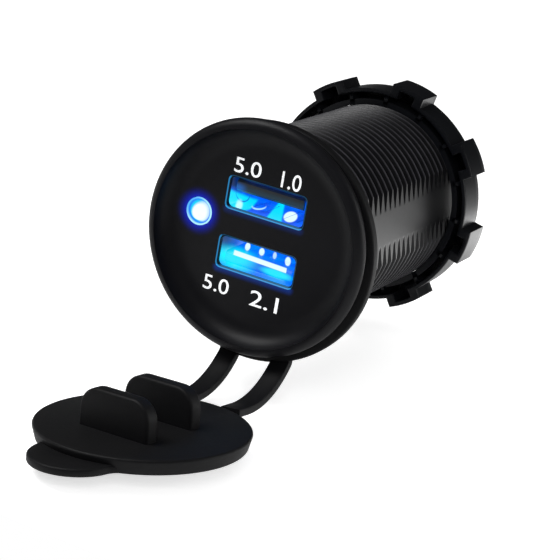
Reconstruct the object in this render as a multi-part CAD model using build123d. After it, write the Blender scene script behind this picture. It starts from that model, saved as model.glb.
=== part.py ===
"""Dual charging socket for a vehicle panel, with a lobed ring nut and a rubber cover on two straps.

Millimetres. The socket's axis lies along Y and its face looks towards -Y, with the upper port at +Z.
The origin is on the axis, at the rear face of the rubber ring, where the panel's front face seats.
"""
import os
from math import acos, cos, radians, sin, sqrt

from build123d import *

# Housing: barrel, its coarse thread rings, flange and dished face
barrel_r = 14.6
barrel_wall = 2.0
thread_pitch = 2.5
thread_depth = 0.85
thread_start = 0.5
flat_depth = 1.08
flat_turn = 10.0
flange_w = 3.4
flange_t = 3.6
lip_round = 1.5
lip_width = 0.2
face_depth = 3.4
face_t = 2.0

# Ports
port_pitch = 9.14
port_rise = 0.7
mouth_w = 12.5
mouth_h = 4.6
mouth_round = 0.5
mouth_lead = 0.3
mouth_lip = 0.7
shell_step = 0.52
shell_t = 0.3
shell_len = 13.7
shell_gap = 0.1
spring_w = 2.2
spring_len = 5.5
spring_x = 2.8
spring_slit = 0.35
spring_y = 2.4
dimple_r = 1.3
dimple_rise = 0.35
leg_w = 1.2
leg_spread = 1.2
tongue_side = 0.7
tongue_t = 1.84
tongue_chamfer = 0.35
tongue_back = 0.25
tongue_off_mid = 0.06
heel_len = 3.2
contact_w = 1.0
contact_t = 0.24
contact_x_inner = 1.0
contact_x_outer = 3.5
contact_setback = 2.4
contact_bump = 0.3
frame_wall = 0.8
frame_len = 2.5

# Indicator
led_side_gap = 0.25
led_z = 0.95
led_r = 1.5
led_rise = 0.9
led_len = 6.1
led_foot_r = 1.85
led_foot_t = 0.9
led_hole_r = 1.62
led_ring_r = 2.1
led_ring_depth = 0.5
lead_side = 0.5
lead_pitch = 1.27

# Boards
board_t = 1.6
board_gap = 0.3
end_room = 5.3
stand_w = 1.4
stand_reach = 1.2
tail_out = 1.0
lead_out = 0.15
link_side = 0.64
link_pitch = 2.54
link_count = 4
link_reach = 1.6

# Parts on the boards
port_led_size = (2.0, 0.8, 1.25)
port_led_x = 3.2
row_gap = 2.2
tail_gap = 0.7
head_gap = 0.4
drum_off_mid = 1.35
drum_rim = 0.9
winding_set = 0.5
can_r = 3.25
small_can_r = 2.6
can_gap = 1.3
can_groove = 0.25
can_groove_w = 0.5
can_edge = 0.4
chip_w = 3.9
chip_l = 4.9
chip_h = 1.5
chip_stand = 0.1
chip_leg_w = 0.42
chip_leg_pitch = 1.27
chip_leg_out = 1.05
chip_leg_t = 0.22
diode_size = (4.3, 2.6, 2.2)
diode_edge = 0.3
fuse_w = 7.0
fuse_t = 2.0
fuse_gap = 1.4
fuse_round = 0.8
resistor_size = (1.6, 0.8, 0.5)
resistor_pitch = 2.0
resistor_row = 1.4

# Rear cover and blades
cover_t = 2.0
cover_plug = 1.6
cover_clear = 0.1
cover_step = 0.5
cover_edge = 0.5
key_w = 3.0
key_depth = 1.8
blade_x = 5.2
blade_w = 6.3
blade_t = 0.8
blade_out = 8.0
blade_tip = 1.2
blade_hole_r = 0.85
blade_hole_back = 3.2
shoulder_w = 8.2
shoulder_len = 1.2
tail_w = 2.6
tail_in_board = 3.0
slot_clear = 0.05
boss_wall = 1.1
boss_h = 1.3

# Ring nut
nut_end_gap = 1.3
nut_len = 5.8
nut_clear = 0.08
nut_edge = 0.25
collar_w = 1.0
trough_w = 1.1
rim_w = 0.8
trough_depth = 3.6
collar_set = 0.8
rib_w = 0.6
rib_set = 0.5
lobe_out = 1.6
lobe_w = 5.8
lobe_count = 8
lobe_start = -33.0
lobe_round = 0.5
pocket_w = 2.6
pocket_depth = 4.4
pocket_wall = 0.75
nut_chamfer = 0.4

# Rubber cover: ring, two straps, cap with two plugs, pull tab
seal_t = 1.6
seal_clear = 0.15
cover_turn = 7.0
strap_pitch = 8.7
strap_w = 3.1
strap_t = 1.2
strap_tuck = 0.1
strap_flare = 1.4
flare_drop = 0.2
strap_root_bend = 1.0
strap_root_angle = 50.3
strap_bend = 16.3
strap_rise = 7.0
strap_run = 2.8
cap_droop = 2.0
cap_inset = 2.9
cap_t = 2.2
cap_taper = 0.6
cap_shift = -1.2
cap_twist = 9.0
cap_overlap = 0.6
cap_edge = 0.25
plug_play = 0.5
plug_t = 2.3
plug_h = 5.6
plug_round = 3.0
plug_edge = 0.35
tab_r = 6.3
tab_reach = 13.6
tab_t = 1.15
tab_blend = 2.5

# Radii and widths that follow
bore_r = barrel_r - barrel_wall
flange_r = barrel_r + flange_w
dish_top = flange_r - lip_round - lip_width
face_r = dish_top - face_depth
flat_x = barrel_r - flat_depth
cover_r = barrel_r - cover_step
trough_in = barrel_r + collar_w
trough_out = trough_in + trough_w
nut_r = trough_out + rim_w
lobe_r = nut_r + lobe_out
cap_r = flange_r - cap_inset
front_board_r = bore_r - board_gap
power_half = sqrt(bore_r**2 - (board_t / 2) ** 2) - board_gap
drum_r = power_half / 2 - drum_off_mid
winding_r = drum_r - winding_set
drum_post_r = winding_r / 2
led_x = -(bore_r - led_foot_r - led_side_gap)
port_z = port_pitch / 2
shell_in_w = mouth_w
shell_in_h = mouth_h + shell_step
shell_w = shell_in_w + 2 * shell_t
shell_h = shell_in_h + 2 * shell_t
tongue_w = shell_in_w - 2 * tongue_side
plug_w = mouth_w - plug_play

# Stations along the axis
flange_back = -seal_t
flange_front = flange_back - flange_t
face_y = flange_front + face_depth
face_back = face_y + face_t
shell_front = face_y + mouth_lip + shell_gap
shell_back = shell_front + shell_len
heel_front = shell_back - heel_len
tongue_front = shell_front + tongue_back
led_rear = face_y - led_rise + led_len
board_front = shell_back
board_back = board_front + board_t
power_front = board_back + board_gap
drum_row = 2 * drum_r + fuse_gap + fuse_t
can_row = 2 * can_r + can_gap + 2 * small_can_r
row_front = power_front + link_reach + row_gap
row_back = row_front + max(drum_row, can_row)
power_back = row_back + tail_gap + tail_in_board
cover_inner = power_back + end_room
barrel_len = cover_inner + cover_plug
cover_back = barrel_len + cover_t
nut_rest = barrel_len - nut_end_gap - nut_len


def box(x0, x1, y0, y1, z0, z1):
    """A block between six planes."""
    size = (abs(x1 - x0), abs(y1 - y0), abs(z1 - z0))
    return Pos((x0 + x1) / 2, (y0 + y1) / 2, (z0 + z1) / 2) * Box(*size)


def block(size, centre):
    """A block of a given size about a centre."""
    return Pos(*centre) * Box(*size)


def along_y(sketch, y0, y1):
    """A sketch drawn in X and Z, pushed from y0 to y1."""
    plane = Plane(origin=(0, y0, 0), x_dir=(1, 0, 0), z_dir=(0, -1, 0))
    return extrude(plane * sketch, amount=y0 - y1)


def rod_y(r, y0, y1, x=0.0, z=0.0):
    """A round bar along Y."""
    return along_y(Pos(x, z) * Circle(r), y0, y1)


def upright(r, h, x, y, z):
    """A round bar standing on the plane z."""
    return Pos(x, y, z + h / 2) * Cylinder(r, h)


def group(shapes):
    """Separate solids kept side by side in one node."""
    return Compound(children=[s for shape in shapes for s in shape.solids()])


def port_side(side):
    """Height of a port's middle: side is 1 for the upper port and -1 for the lower one."""
    return port_rise + side * port_z


def contact_places():
    """The four contacts' places across a port."""
    return [-contact_x_outer, -contact_x_inner, contact_x_inner, contact_x_outer]


def contact_height(side):
    """Middle height of the contacts, on the tongue's face that looks at the port's middle."""
    return port_side(side) + side * (tongue_off_mid + contact_t / 2)


def contact_box(x, side, y0, y1, grow=0.0):
    """One contact strip, or the slot for it when grown."""
    z = contact_height(side)
    half_w = contact_w / 2 + grow
    half_t = contact_t / 2 + grow
    return box(x - half_w, x + half_w, y0, y1, z - half_t, z + half_t)


def leg_places():
    """The legs of a port shell: side and height off the port's middle."""
    return [(sx, sz) for sx in (-1, 1) for sz in (-1, 1)]


def leg_box(sx, sz, side, y0, y1, grow=0.0):
    """One leg of a port shell, or the slot for it when grown."""
    x = sx * (shell_w / 2 - shell_t / 2)
    z = port_side(side) + sz * leg_spread
    half_t = shell_t / 2 + grow
    half_w = leg_w / 2 + grow
    return box(x - half_t, x + half_t, y0, y1, z - half_w, z + half_w)


def lead_heights():
    """Heights of the indicator's two leads."""
    return [led_z - lead_pitch / 2, led_z + lead_pitch / 2]


def link_places():
    """The pins that join the two boards, side by side."""
    return [(i - (link_count - 1) / 2) * link_pitch for i in range(link_count)]


def barrel_flats():
    """The two flats along the barrel, as the stock that is cut away."""
    out = flat_x + flange_r
    cut = box(flat_x, out, 0, barrel_len, -flange_r, flange_r)
    cut += box(-out, -flat_x, 0, barrel_len, -flange_r, flange_r)
    return Rot(0, -flat_turn, 0) * cut


def thread_line():
    """The barrel's outside from its rear end to the rubber ring: a zigzag coarser than the real thread."""
    line = []
    for i in range(int((barrel_len - thread_start) / thread_pitch), 0, -1):
        y = thread_start + i * thread_pitch
        line += [(barrel_r, y), (barrel_r - thread_depth, y - thread_pitch / 2)]
    return line + [(barrel_r, thread_start)]


def housing_section():
    """Half section of the housing in the XY plane, X being the radius."""
    lip_top = flange_r - lip_round
    with BuildSketch() as section:
        with BuildLine():
            lip = RadiusArc((flange_r, flange_front + lip_round), (lip_top, flange_front), -lip_round)
            rim = Line(lip @ 1, (dish_top, flange_front))
            hollow = face_depth * sqrt(0.5)
            dish = ThreePointArc(rim @ 1, (face_r + hollow, flange_front + hollow), (face_r, face_y))
            Polyline(
                dish @ 1,
                (0, face_y),
                (0, face_back),
                (bore_r, face_back),
                (bore_r, barrel_len),
                (barrel_r, barrel_len),
                *thread_line(),
                (barrel_r, flange_back),
                (flange_r, flange_back),
                lip @ 0,
            )
        make_face()
    return section.sketch


def port_mouth(side):
    """The opening of a port through the face, with its lead-in."""
    z = port_side(side)
    mouth = along_y(Pos(0, z) * RectangleRounded(mouth_w, mouth_h, mouth_round), face_y - 1, face_back + 1)
    wide = RectangleRounded(mouth_w + 2 * mouth_lead, mouth_h + 2 * mouth_lead, mouth_round + mouth_lead)
    narrow = RectangleRounded(mouth_w, mouth_h, mouth_round)
    outer = Plane(origin=(0, face_y, z), x_dir=(1, 0, 0), z_dir=(0, -1, 0)) * wide
    inner = Plane(origin=(0, face_y + mouth_lead, z), x_dir=(1, 0, 0), z_dir=(0, -1, 0)) * narrow
    return mouth + loft([outer, inner])


def port_frame(side):
    """The moulded collar behind the face that holds a shell's nose."""
    grow = 2 * (shell_gap + frame_wall)
    frame = Pos(0, port_side(side)) * Rectangle(shell_w + grow, shell_h + grow)
    return along_y(frame, face_back, face_back + frame_len)


def port_seat(side):
    """The pocket in the face and its collar that takes a shell's nose."""
    seat = Rectangle(shell_w + 2 * shell_gap, shell_h + 2 * shell_gap)
    return along_y(Pos(0, port_side(side)) * seat, face_y + mouth_lip, face_back + frame_len + 1)


def stand_ribs():
    """Ribs along the bore that the front board lands on."""
    inner = front_board_r - stand_reach
    rib = box(-stand_w / 2, stand_w / 2, face_back, board_front, inner, bore_r + barrel_wall / 2)
    return [Rot(0, a, 0) * rib for a in (0, 130, 180, 230)]


def make_housing():
    body = revolve(housing_section(), axis=Axis.Y)
    for rib in stand_ribs():
        body += rib
    for side in (1, -1):
        body += port_frame(side)
    for side in (1, -1):
        body -= port_seat(side)
        body -= port_mouth(side)
    body -= rod_y(led_foot_r + slot_clear, face_back, face_back + frame_len + 1, led_x, led_z)
    body -= rod_y(led_hole_r, face_y - 1, face_back + 1, led_x, led_z)
    body -= rod_y(led_ring_r, face_y - 1, face_y + led_ring_depth, led_x, led_z)
    body -= barrel_flats()
    for a in (0, 180):
        notch = box(-key_w / 2, key_w / 2, barrel_len - key_depth, barrel_len + 1, bore_r - 1, barrel_r + 1)
        body -= Rot(0, a, 0) * notch
    return body


def spring_cuts(x, wall_z):
    """The three slits round one spring tab in a shell's broad wall."""
    y0 = shell_front + spring_y
    cuts = []
    for dx in (-spring_w / 2, spring_w / 2):
        cuts.append(block((spring_slit, spring_len, 4 * shell_t), (x + dx, y0 + spring_len / 2, wall_z)))
    cuts.append(block((spring_w + spring_slit, spring_slit, 4 * shell_t), (x, y0 + spring_len, wall_z)))
    return cuts


def spring_dimple(x, z, wall_side):
    """The round dimple near the free end of a spring tab, raised towards the plug."""
    inner = z + wall_side * shell_in_h / 2
    y = shell_front + spring_y + spring_len - spring_w / 2 - spring_slit
    ball = Pos(x, y, inner + wall_side * (dimple_r - dimple_rise)) * Sphere(dimple_r)
    width = spring_w - spring_slit
    return ball & block((width, width, 2 * shell_t), (x, y, inner))


def make_shell(side):
    """A folded steel receptacle shell with sprung tabs in both broad walls and four legs."""
    z = port_side(side)
    outer = RectangleRounded(shell_w, shell_h, 2 * shell_t)
    inner = RectangleRounded(shell_in_w, shell_in_h, shell_t)
    tube = along_y(Pos(0, z) * (outer - inner), shell_front, shell_back)
    for wall_side in (-1, 1):
        for x in (-spring_x, spring_x):
            tube += spring_dimple(x, z, wall_side)
            for cut in spring_cuts(x, z + wall_side * shell_h / 2):
                tube -= cut
    for sx, sz in leg_places():
        tube += leg_box(sx, sz, side, shell_back - 1, board_back + tail_out)
    return tube


def make_tongue(side):
    """The plastic tongue and its heel, slotted for the contacts."""
    z = port_side(side)
    near = z + side * tongue_off_mid
    heel_w = shell_in_w - 2 * shell_gap
    heel_h = shell_in_h - 2 * shell_gap
    heel = block((heel_w, heel_len, heel_h), (0, shell_back - heel_len / 2, z))
    tongue = box(-tongue_w / 2, tongue_w / 2, tongue_front, heel_front, near, near + side * tongue_t)
    tongue = chamfer(tongue.faces().sort_by(Axis.Y)[0].edges().filter_by(Axis.X), tongue_chamfer)
    tongue += heel
    for x in contact_places():
        y0 = tongue_front + contact_setback - slot_clear
        tongue -= contact_box(x, side, y0, shell_back + 1, slot_clear)
    return tongue


def contact_bend(x, side):
    """The raised bend at the front of a contact."""
    r = contact_t / 2 + contact_bump
    y = tongue_front + contact_setback + r
    z = contact_height(side)
    bar = Pos(x, y, z) * Rot(0, 90, 0) * Cylinder(r, contact_w)
    return bar & box(x - contact_w, x + contact_w, y - r, y + r, z, z - side * r)


def make_contacts(side):
    """Four strips with a raised bend each, from the tongue to the front board."""
    y0 = tongue_front + contact_setback
    strips = []
    for x in contact_places():
        strips.append(contact_box(x, side, y0, board_back + tail_out) + contact_bend(x, side))
    return group(strips)


def make_indicator():
    """A clear bulb with a domed nose and a foot behind the face."""
    nose = face_y - led_rise + led_r
    bulb = rod_y(led_r, nose, led_rear, led_x, led_z)
    bulb += Pos(led_x, nose, led_z) * Sphere(led_r)
    bulb += rod_y(led_foot_r, face_back + slot_clear, face_back + led_foot_t, led_x, led_z)
    return bulb


def make_indicator_leads():
    half = lead_side / 2
    leads = []
    for z in lead_heights():
        leads.append(box(led_x - half, led_x + half, led_rear, board_back + lead_out, z - half, z + half))
    return group(leads)


def make_front_board():
    """The round board behind the two shells."""
    board = rod_y(front_board_r, board_front, board_back)
    y0, y1 = board_front - 1, board_back + 1
    for side in (1, -1):
        for x in contact_places():
            board -= contact_box(x, side, y0, y1, slot_clear)
        for sx, sz in leg_places():
            board -= leg_box(sx, sz, side, y0, y1, slot_clear)
    hole = lead_side / 2 + slot_clear
    for z in lead_heights():
        board -= box(led_x - hole, led_x + hole, y0, y1, z - hole, z + hole)
    half = link_side / 2 + slot_clear
    z = (board_t + link_side) / 2
    for x in link_places():
        board -= box(x - half, x + half, y0, y1, z - half, z + half)
    return board


def make_power_board():
    """The long board down the middle of the barrel, slotted for the blades' tails and the link pins."""
    board = box(-power_half, power_half, power_front, power_back, -board_t / 2, board_t / 2)
    cut = blade_t / 2 + slot_clear
    slot_end = power_back - tail_in_board - slot_clear
    for x in (-blade_x, blade_x):
        board -= box(x - cut, x + cut, slot_end, power_back + 1, -board_t, board_t)
    pin = link_side / 2 + slot_clear
    y = power_front + link_reach
    for x in link_places():
        board -= box(x - pin, x + pin, y - pin, y + pin, -board_t, board_t)
    return board


def make_link_pins():
    """Bent square pins from the front board into the long board."""
    half = link_side / 2
    z = board_t / 2 + half
    y = power_front + link_reach
    pins = []
    for x in link_places():
        run = box(x - half, x + half, board_front - tail_out / 2, y + half, z - half, z + half)
        drop = box(x - half, x + half, y - half, y + half, -board_t / 2 - tail_out / 2, z + half)
        pins.append(run + drop)
    return group(pins)


def make_port_leds():
    """Small lamps on the front board, between the two ports."""
    sx, sy, sz = port_led_size
    return group([block(port_led_size, (x, board_front - sy / 2, 0)) for x in (-port_led_x, port_led_x)])


def headroom(x, half):
    """Height between the long board and the bore above a part that reaches half to each side of x."""
    return sqrt(bore_r**2 - (abs(x) + half) ** 2) - board_t / 2 - head_gap


def drum_place():
    """Where the choke stands on the long board, and its height."""
    x = -power_half / 2
    return (x, row_front + drum_r, board_t / 2), headroom(x, drum_r)


def make_inductor_core():
    """A ferrite drum: two rims on a post."""
    (x, y, z), height = drum_place()
    core = upright(drum_r, drum_rim, x, y, z)
    core += upright(drum_post_r, height, x, y, z)
    core += upright(drum_r, drum_rim, x, y, z + height - drum_rim)
    return core


def make_inductor_winding():
    (x, y, z), height = drum_place()
    height -= 2 * drum_rim
    coil = upright(winding_r, height, x, y, z + drum_rim)
    return coil - upright(drum_post_r, height, x, y, z + drum_rim)


def can(r, y):
    """An electrolytic capacitor with a crimped groove near its foot."""
    x = power_half / 2
    z = board_t / 2
    body = upright(r, headroom(x, can_r), x, y, z)
    body = chamfer(body.edges().group_by(Axis.Z)[-1], can_edge)
    band = upright(r + 1, can_groove_w, x, y, z + 2 * can_groove_w)
    return body - (band - upright(r - can_groove, can_groove_w, x, y, z + 2 * can_groove_w))


def make_capacitors():
    return group([can(can_r, row_front + can_r), can(small_can_r, row_back - small_can_r)])


def chip(x):
    """A control chip under the long board, with four legs on each long side."""
    y = row_front + chip_l / 2
    top = -board_t / 2
    body = box(x - chip_w / 2, x + chip_w / 2, y - chip_l / 2, y + chip_l / 2, top - chip_h, top - chip_stand)
    for i in range(4):
        leg_y = y + (i - 1.5) * chip_leg_pitch
        for side in (-1, 1):
            x0 = x + side * (chip_w / 2 - chip_stand)
            x1 = x + side * (chip_w / 2 + chip_leg_out)
            half = chip_leg_w / 2
            body += box(x0, x1, leg_y - half, leg_y + half, top - chip_leg_t, top)
    return body


def make_chips():
    return group([chip(-power_half / 2), chip(power_half / 2)])


def make_diode():
    """A moulded diode under the long board, on its middle line between the blades' tails."""
    length, width, height = diode_size
    body = block(diode_size, (0, row_back - width / 2, -(board_t + height) / 2))
    return chamfer(body.edges().filter_by(Axis.Z), diode_edge)


def make_fuse():
    """A flat resettable fuse that stands on the long board behind the choke."""
    x = -power_half / 2
    height = headroom(x, fuse_w / 2)
    plate = block((fuse_w, fuse_t, height), (x, row_back - fuse_t / 2, (board_t + height) / 2))
    return fillet(plate.edges().filter_by(Axis.Y), fuse_round)


def make_resistors():
    """Two columns of chip resistors under the long board, between the control chips."""
    length, width, height = resistor_size
    rows = [row_front + width / 2 + i * resistor_row for i in range(3)]
    spots = [(x, y, -(board_t + height) / 2) for x in (-resistor_pitch / 2, resistor_pitch / 2) for y in rows]
    return group([block(resistor_size, spot) for spot in spots])


def make_rear_cover():
    """The end cover: a plate on the barrel's end, a spigot in the bore, two keys and two blade bosses."""
    cover = rod_y(cover_r, barrel_len, cover_back)
    cover = chamfer(cover.edges().group_by(Axis.Y)[-1], cover_edge)
    cover += rod_y(bore_r - cover_clear, cover_inner, barrel_len)
    key = box(
        -key_w / 2 + cover_clear,
        key_w / 2 - cover_clear,
        barrel_len - key_depth + cover_clear,
        barrel_len,
        bore_r - barrel_wall,
        cover_r,
    )
    for a in (0, 180):
        cover += Rot(0, a, 0) * key
    boss = Rectangle(blade_t + 2 * boss_wall, blade_w + 2 * boss_wall)
    slot_t = blade_t / 2 + slot_clear
    slot_w = blade_w / 2 + slot_clear
    for x in (-blade_x, blade_x):
        cover += along_y(Pos(x, 0) * boss, cover_back, cover_back + boss_h)
        cover -= box(x - slot_t, x + slot_t, cover_inner - 1, cover_back + boss_h + 1, -slot_w, slot_w)
    return cover


def make_blade(side):
    """A flat tab terminal with a shoulder inside the cover and a tail soldered to the long board."""
    x = side * blade_x
    tip = cover_back + boss_h + blade_out
    half_w = blade_w / 2
    neck = cover_inner - shoulder_len
    with BuildSketch(Plane.YZ) as outline:
        with BuildLine():
            Polyline(
                (power_back - tail_in_board, -tail_w / 2),
                (neck, -tail_w / 2),
                (neck, -shoulder_w / 2),
                (cover_inner, -shoulder_w / 2),
                (cover_inner, -half_w),
                (tip - blade_tip, -half_w),
                (tip, -half_w + blade_tip),
                (tip, half_w - blade_tip),
                (tip - blade_tip, half_w),
                (cover_inner, half_w),
                (cover_inner, shoulder_w / 2),
                (neck, shoulder_w / 2),
                (neck, tail_w / 2),
                (power_back - tail_in_board, tail_w / 2),
                close=True,
            )
        make_face()
        with Locations((tip - blade_hole_back, 0)):
            Circle(blade_hole_r, mode=Mode.SUBTRACT)
    return Pos(x - blade_t / 2, 0, 0) * extrude(outline.sketch, amount=blade_t)


def lobe_sketch():
    """The outline of the lobed ring, looking along the axis."""
    ring = Circle(nut_r)
    for i in range(lobe_count):
        turn = -(lobe_start + i * 360 / lobe_count)
        height = lobe_r - nut_r / 2
        lobe = Pos(0, nut_r / 2 + height / 2) * Rectangle(lobe_w, height)
        ring += Rot(0, 0, turn) * lobe
    corners = ring.vertices().filter_by(lambda v: sqrt(v.X**2 + v.Y**2) > lobe_r)
    return fillet(corners, lobe_round)


def nut_pocket():
    """The moulded hollow behind one lobe, open to the front."""
    front = nut_rest
    return box(-pocket_w / 2, pocket_w / 2, front - 1, front + pocket_depth, trough_in, lobe_r - pocket_wall)


def nut_trough():
    """The round trough in the nut's front face, crossed by thin ribs."""
    front = nut_rest
    trough = rod_y(trough_out, front - 1, front + trough_depth) - rod_y(trough_in, front - 2, front + nut_len)
    rib = box(-rib_w / 2, rib_w / 2, front + rib_set, front + nut_len, barrel_r, nut_r)
    for i in range(2 * lobe_count):
        trough -= Rot(0, lobe_start + (i + 0.5) * 180 / lobe_count, 0) * rib
    return trough


def make_ring_nut():
    """The hand nut: a threaded collar in a lobed ring, with a ribbed trough and hollow lobes in front."""
    front = nut_rest
    back = nut_rest + nut_len
    nut = along_y(lobe_sketch(), front, back)
    outer_rim = nut.edges().group_by(Axis.Y)[0]
    nut = chamfer(outer_rim, nut_edge)
    nut -= rod_y(trough_in, front - 1, front + collar_set)
    nut -= nut_trough()
    pocket = nut_pocket()
    for i in range(lobe_count):
        nut -= Rot(0, lobe_start + i * 360 / lobe_count, 0) * pocket
    bore = barrel_r + nut_clear
    nut -= rod_y(bore, front - 1, back + 1)
    ends = nut.edges().filter_by(GeomType.CIRCLE).filter_by(lambda e: abs(e.radius - bore) < 0.01)
    return chamfer(ends, nut_chamfer)


def strap_path():
    """Side line of a strap in Y and Z: down from the ring, forwards under the flange, up into the cap."""
    with BuildLine(Plane.YZ) as path:
        start = (-seal_t / 2, -(barrel_r + flange_r) / 2)
        down = Line(start, (-seal_t / 2, strap_tuck - flange_r))
        root = JernArc(down @ 1, (0, -1), strap_root_bend, -strap_root_angle)
        sweep_angle = 90 - strap_root_angle + strap_rise
        bend = JernArc(root @ 1, root % 1, strap_bend, -sweep_angle)
        Line(bend @ 1, (bend @ 1) + (bend % 1) * strap_run)
    return path.line


def make_strap(x):
    """One strap of constant section, swept down its side line."""
    path = strap_path()
    section = Plane(origin=path @ 0, x_dir=(1, 0, 0), z_dir=path % 0) * Rectangle(strap_w, strap_t)
    return Pos(x, 0, 0) * sweep(section, path=path)


def make_strap_flare(x):
    """The widened root of a strap in the ring's own thickness."""
    top = sqrt(flange_r**2 - (abs(x) + strap_w / 2 + strap_flare) ** 2)
    low = flange_r + flare_drop
    half = strap_w / 2
    with BuildSketch() as flare:
        with BuildLine():
            right = RadiusArc((x + half + strap_flare, -top), (x + half, -low), -strap_flare * 1.6)
            left = RadiusArc((x - half, -low), (x - half - strap_flare, -top), -strap_flare * 1.6)
            Polyline(left @ 1, (x, -barrel_r - seal_t), right @ 0)
            Line(right @ 1, left @ 0)
        make_face()
    return along_y(flare.sketch, flange_back + 0.2, 0)


def cap_frame():
    """The cap's own frame: its origin is the middle of the inner face, X along the plugs, Y to the back."""
    end = strap_path() @ 1
    droop = radians(cap_droop)
    lift = cap_t - strap_t / 2
    reach = cap_r - cap_overlap
    y = end.Y - reach * cos(droop) + lift * sin(droop)
    z = end.Z - reach * sin(droop) + lift * cos(droop)
    return Location((cap_shift, y, z), (-cap_droop, 0, 0)) * Rot(0, 0, -cap_twist)


def make_plug(y):
    """One of the two plugs that close the ports: a slab with rounded top corners."""
    slab = block((plug_w, plug_t, plug_h), (0, y, plug_h / 2))
    slab = fillet(slab.edges().filter_by(Axis.Y).group_by(Axis.Z)[-1], plug_round)
    return fillet(slab.edges().filter_by_position(Axis.Z, 0.1, plug_h + 1), plug_edge)


def tab_sketch():
    """The pull tab's outline: a small circle that runs into the cap's edge by two hollow arcs."""
    root_r = cap_r - cap_taper
    far = root_r + tab_blend
    near = tab_r + tab_blend
    spread = acos((far**2 + tab_reach**2 - near**2) / (2 * far * tab_reach))
    arcs = [(far * sin(a), -far * cos(a)) for a in (-spread, spread)]
    neck = Polygon((0, 0), arcs[0], (0, -tab_reach), arcs[1], align=None)
    for centre in arcs:
        neck -= Pos(*centre) * Circle(tab_blend)
    return neck + Circle(root_r) + Pos(0, -tab_reach) * Circle(tab_r)


def make_cap():
    """The cap: a disc with a tapered wall, two plugs on its inner face and a thin pull tab."""
    with BuildSketch(Plane.XZ) as section:
        with BuildLine():
            Polyline(
                (0, 0),
                (cap_r - cap_edge, 0),
                (cap_r, -cap_edge),
                (cap_r - cap_taper, -cap_t),
                (0, -cap_t),
                close=True,
            )
        make_face()
    cap = revolve(section.sketch, axis=Axis.Z)
    cap += extrude(Pos(0, 0, -cap_t) * tab_sketch(), amount=tab_t)
    for y in (-port_rise - port_z, -port_rise + port_z):
        cap += make_plug(y)
    return cap


def make_rubber_cover():
    """Ring, straps, cap, plugs and tab, moulded in one."""
    ring = Circle(flange_r) - Circle(barrel_r + seal_clear)
    cover = along_y(ring, flange_back, 0)
    for x in (-strap_pitch / 2, strap_pitch / 2):
        cover += make_strap(x)
        cover += make_strap_flare(x)
    cover += cap_frame() * make_cap()
    cover -= rod_y(barrel_r + seal_clear, flange_back - 1, 1)
    return Rot(0, -cover_turn, 0) * cover


parts = {
    "socket_housing": make_housing(),
    "upper_port_shell": make_shell(1),
    "lower_port_shell": make_shell(-1),
    "upper_tongue": make_tongue(1),
    "lower_tongue": make_tongue(-1),
    "upper_contacts": make_contacts(1),
    "lower_contacts": make_contacts(-1),
    "indicator_led": make_indicator(),
    "indicator_leads": make_indicator_leads(),
    "front_board": make_front_board(),
    "port_leds": make_port_leds(),
    "power_board": make_power_board(),
    "board_link_pins": make_link_pins(),
    "inductor_core": make_inductor_core(),
    "inductor_winding": make_inductor_winding(),
    "capacitors": make_capacitors(),
    "control_chips": make_chips(),
    "rectifier_diode": make_diode(),
    "resettable_fuse": make_fuse(),
    "chip_resistors": make_resistors(),
    "positive_blade": make_blade(1),
    "negative_blade": make_blade(-1),
    "rear_cover": make_rear_cover(),
    "ring_nut": make_ring_nut(),
    "rubber_cover": make_rubber_cover(),
}

os.makedirs("parts", exist_ok=True)
for name, shape in parts.items():
    export_step(shape, f"parts/{name}.step")
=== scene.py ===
"""Looks of the charging socket: moulded pieces, thread, marks, lit ports, finishes, lights and camera."""

from math import acos, copysign, cos, degrees, pi, radians, sin, tan, tau

import bmesh
import bpy
from bmesh.types import BMEdge, BMFace, BMVert
from mathutils import Matrix, Vector


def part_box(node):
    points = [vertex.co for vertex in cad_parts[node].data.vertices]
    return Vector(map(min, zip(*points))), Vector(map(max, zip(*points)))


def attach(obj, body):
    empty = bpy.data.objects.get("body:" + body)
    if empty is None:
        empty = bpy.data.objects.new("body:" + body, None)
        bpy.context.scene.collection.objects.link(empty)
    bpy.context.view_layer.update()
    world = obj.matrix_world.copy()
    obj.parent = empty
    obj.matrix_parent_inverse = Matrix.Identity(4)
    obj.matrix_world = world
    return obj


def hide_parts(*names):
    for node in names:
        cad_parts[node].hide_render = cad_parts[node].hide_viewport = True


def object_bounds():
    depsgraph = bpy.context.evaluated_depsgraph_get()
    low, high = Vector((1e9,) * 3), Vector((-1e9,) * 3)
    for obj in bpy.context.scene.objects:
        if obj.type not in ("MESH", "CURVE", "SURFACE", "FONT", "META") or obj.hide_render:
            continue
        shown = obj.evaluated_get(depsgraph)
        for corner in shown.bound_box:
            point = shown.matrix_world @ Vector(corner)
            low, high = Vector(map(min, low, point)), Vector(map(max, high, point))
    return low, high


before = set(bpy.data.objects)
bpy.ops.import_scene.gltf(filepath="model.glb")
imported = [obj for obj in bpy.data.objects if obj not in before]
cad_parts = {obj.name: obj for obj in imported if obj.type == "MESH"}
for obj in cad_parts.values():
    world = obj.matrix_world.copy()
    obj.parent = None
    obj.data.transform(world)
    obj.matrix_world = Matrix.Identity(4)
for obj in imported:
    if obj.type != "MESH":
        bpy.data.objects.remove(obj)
cad_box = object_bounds()

mm = 0.001


def box_mm(node):
    """Lowest and highest corner of a CAD node, in millimetres."""
    low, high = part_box(node)
    return low / mm, high / mm


housing_low, housing_high = box_mm("socket_housing")
nut_low, nut_high = box_mm("ring_nut")
tongue_front = box_mm("lower_tongue")[0].y
shell_front = box_mm("upper_port_shell")[0].y
board_front = box_mm("front_board")[0].y

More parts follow.
